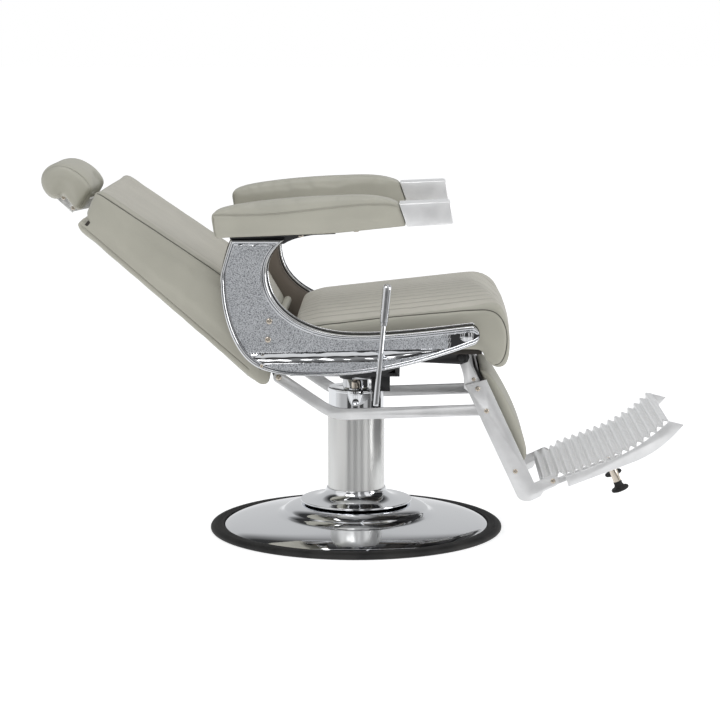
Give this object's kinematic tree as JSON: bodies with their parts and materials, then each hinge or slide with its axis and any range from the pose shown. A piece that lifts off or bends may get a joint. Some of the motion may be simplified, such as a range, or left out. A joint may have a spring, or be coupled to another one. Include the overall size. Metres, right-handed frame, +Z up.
{
  "type": "hydraulic barber chair",
  "caption": "Reclining hydraulic barber chair with a chrome disc base, C-shaped cast side panels, ribbed upholstery, headrest, and a linked leg rest with a ridged footplate.",
  "frame": {"origin": "centre of the base on the floor, under the axis of the column", "axes": "+X forward, +Y to the sitter's left, +Z up; stored fully reclined at its lowest height"},
  "size_m": [1.4334, 0.692, 0.8449],
  "materials": {
    "chrome": "mirror polished",
    "satin": "brushed satin",
    "satin_steel": "satin",
    "black_steel": "semi-gloss black",
    "upholstery": "soft matt grain",
    "nickel": "nickel plated",
    "etched": "cast stipple",
    "iron": "painted",
    "bronze": "machined",
    "board": "plywood, stained black",
    "rubber": "matt"
  },
  "bodies": {
    "base": {"rubber_ring": "rubber", "base_plate": "iron", "base_cover": "chrome", "column_collar": "chrome", "lower_sleeve": "satin_steel", "pump_cylinder": "iron", "cylinder_bolts": "nickel"},
    "swivel": {"swivel_guide": "bronze"},
    "seat": {"ram": "chrome", "upper_sleeve": "chrome", "top_cap": "chrome", "mount_flange": "black_steel", "seat_frame": "black_steel", "seat_pan": "board", "seat_cushion": "upholstery", "arm_frame_right": "black_steel", "arm_frame_left": "black_steel", "side_panel_right": "chrome", "side_panel_left": "chrome", "panel_inlays_right": "etched", "panel_inlays_left": "etched", "side_pad_right": "upholstery", "side_pad_left": "upholstery", "arm_pad_right": "upholstery", "arm_pad_left": "upholstery", "arm_cap_right": "satin", "arm_cap_left": "satin", "trim_screws": "nickel", "lever_bracket": "black_steel", "back_hinge_bolts": "nickel", "leg_axle": "nickel"},
    "back": {"back_board": "board", "back_cushion": "upholstery", "back_cover": "upholstery", "back_roll": "upholstery", "back_hinge_plates": "black_steel", "link_brackets": "black_steel", "headrest_guides": "satin_steel"},
    "headrest_bars": {"headrest_stem": "satin_steel"},
    "headrest": {"headrest_plate": "satin_steel", "headrest_cushion": "upholstery", "headrest_screws": "nickel"},
    "legrest": {"leg_plate_right": "satin", "leg_plate_left": "satin", "leg_straps": "chrome", "leg_cross_bars": "black_steel", "calf_board": "black_steel", "calf_cushion": "upholstery", "leg_screws": "nickel"},
    "links": {"link_bar_right": "satin", "link_bar_left": "satin", "link_bolts": "nickel"},
    "footplate": {"footplate_deck": "satin", "footplate_flanges": "satin", "footplate_ribs": "satin", "bumper_posts": "nickel", "bumper_feet": "rubber"},
    "lever": {"lever_bar": "chrome", "lever_grip": "chrome"},
    "plunger": {"pump_plunger": "nickel"}
  },
  "joints": [
    {"name": "swivel", "type": "hinge", "parent": "base", "child": "swivel", "pos_m": [0, 0, 0.256], "axis": [0, 0, 1], "continuous": true},
    {"name": "lift", "type": "slide", "parent": "swivel", "child": "seat", "axis": [0, 0, 1], "range_m": [0, 0.16]},
    {"name": "recline", "type": "hinge", "parent": "seat", "child": "back", "pos_m": [-0.175, 0, 0.436], "axis": [0, 1, 0], "range_deg": [0, 38]},
    {"name": "leg_rest", "type": "hinge", "parent": "seat", "child": "legrest", "pos_m": [0.236, 0, 0.424], "axis": [0, 1, 0], "range_deg": [0, 20]},
    {"name": "link_turn", "type": "hinge", "parent": "back", "child": "links", "pos_m": [-0.169, 0, 0.3737], "axis": [0, 1, 0], "range_deg": [-37, 0]},
    {"name": "headrest_slide", "type": "slide", "parent": "back", "child": "headrest_bars", "axis": [-0.7547, 0, 0.6561], "range_m": [0, 0.09]},
    {"name": "headrest_tilt", "type": "hinge", "parent": "headrest_bars", "child": "headrest", "pos_m": [-0.634, 0, 0.742], "axis": [0, -1, 0], "range_deg": [0, 25]},
    {"name": "footplate_fold", "type": "hinge", "parent": "legrest", "child": "footplate", "pos_m": [0.442, 0, 0.1445], "axis": [0, -1, 0], "range_deg": [0, 60]},
    {"name": "hand_lever", "type": "hinge", "parent": "seat", "child": "lever", "pos_m": [0.05, 0, 0.347], "axis": [0, -1, 0], "range_deg": [0, 14]},
    {"name": "plunger_stroke", "type": "slide", "parent": "seat", "child": "plunger", "axis": [0, 0, -1], "range_m": [0, 0.0135]}
  ],
  "couplings": [
    {"joint": "leg_rest", "follows": "recline", "ratio": 0.5},
    {"joint": "link_turn", "follows": "recline", "ratio": -0.93},
    {"joint": "plunger_stroke", "follows": "hand_lever", "m_per_rad": 0.0525}
  ]
}
